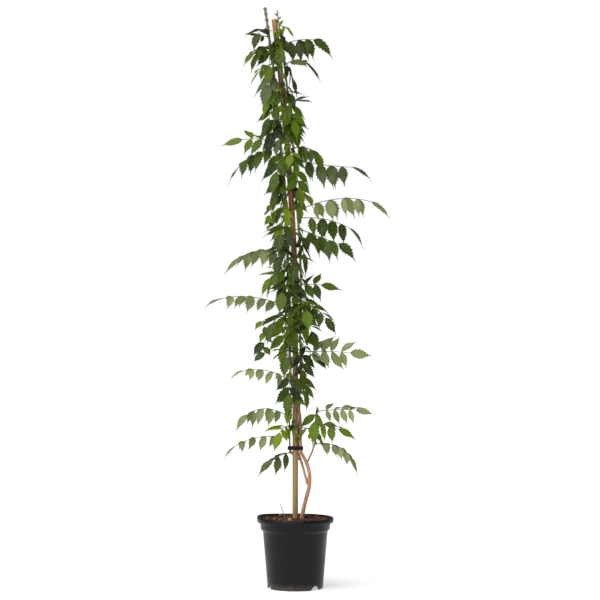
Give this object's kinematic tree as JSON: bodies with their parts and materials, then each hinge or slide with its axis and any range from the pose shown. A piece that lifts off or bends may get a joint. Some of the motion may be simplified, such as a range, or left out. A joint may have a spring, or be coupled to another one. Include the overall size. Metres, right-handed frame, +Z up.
{
  "type": "potted madame galen trumpet vine",
  "caption": "Young climbing trumpet vine with toothed pinnate leaves, tied to a bamboo cane in a round black nursery pot.",
  "frame": {"origin": "middle of the pot's foot, on the ground", "axes": "+Z up along the cane, -Y towards the viewer of the picture, +X to the viewer's right"},
  "size_m": [0.3685, 0.1961, 1.1343],
  "materials": {
    "black_plastic": "moulded black polypropylene, half matt",
    "potting_mix": "damp bark and peat mix, matt",
    "bamboo": "dry tan cane, satin",
    "young_bark": "pinkish tan bark, matt",
    "dry_twig": "dead twig, matt",
    "tag_plastic": "black styrene, half matt",
    "tie_rubber": "black tie band, matt",
    "leaf_green": "fresh green stems and toothed leaflets, satin"
  },
  "bodies": {
    "root": {"pot": "black_plastic", "soil": "potting_mix", "bamboo_cane": "bamboo", "woody_stem": "young_bark", "dry_twig": "dry_twig", "plant_tag": "tag_plastic", "tie_1": "tie_rubber", "tie_2": "tie_rubber", "tie_3": "tie_rubber", "tie_4": "tie_rubber", "tie_5": "tie_rubber", "main_vine": "leaf_green", "second_vine": "leaf_green", "low_right_shoot": "leaf_green", "low_left_shoot": "leaf_green"}
  },
  "joints": []
}
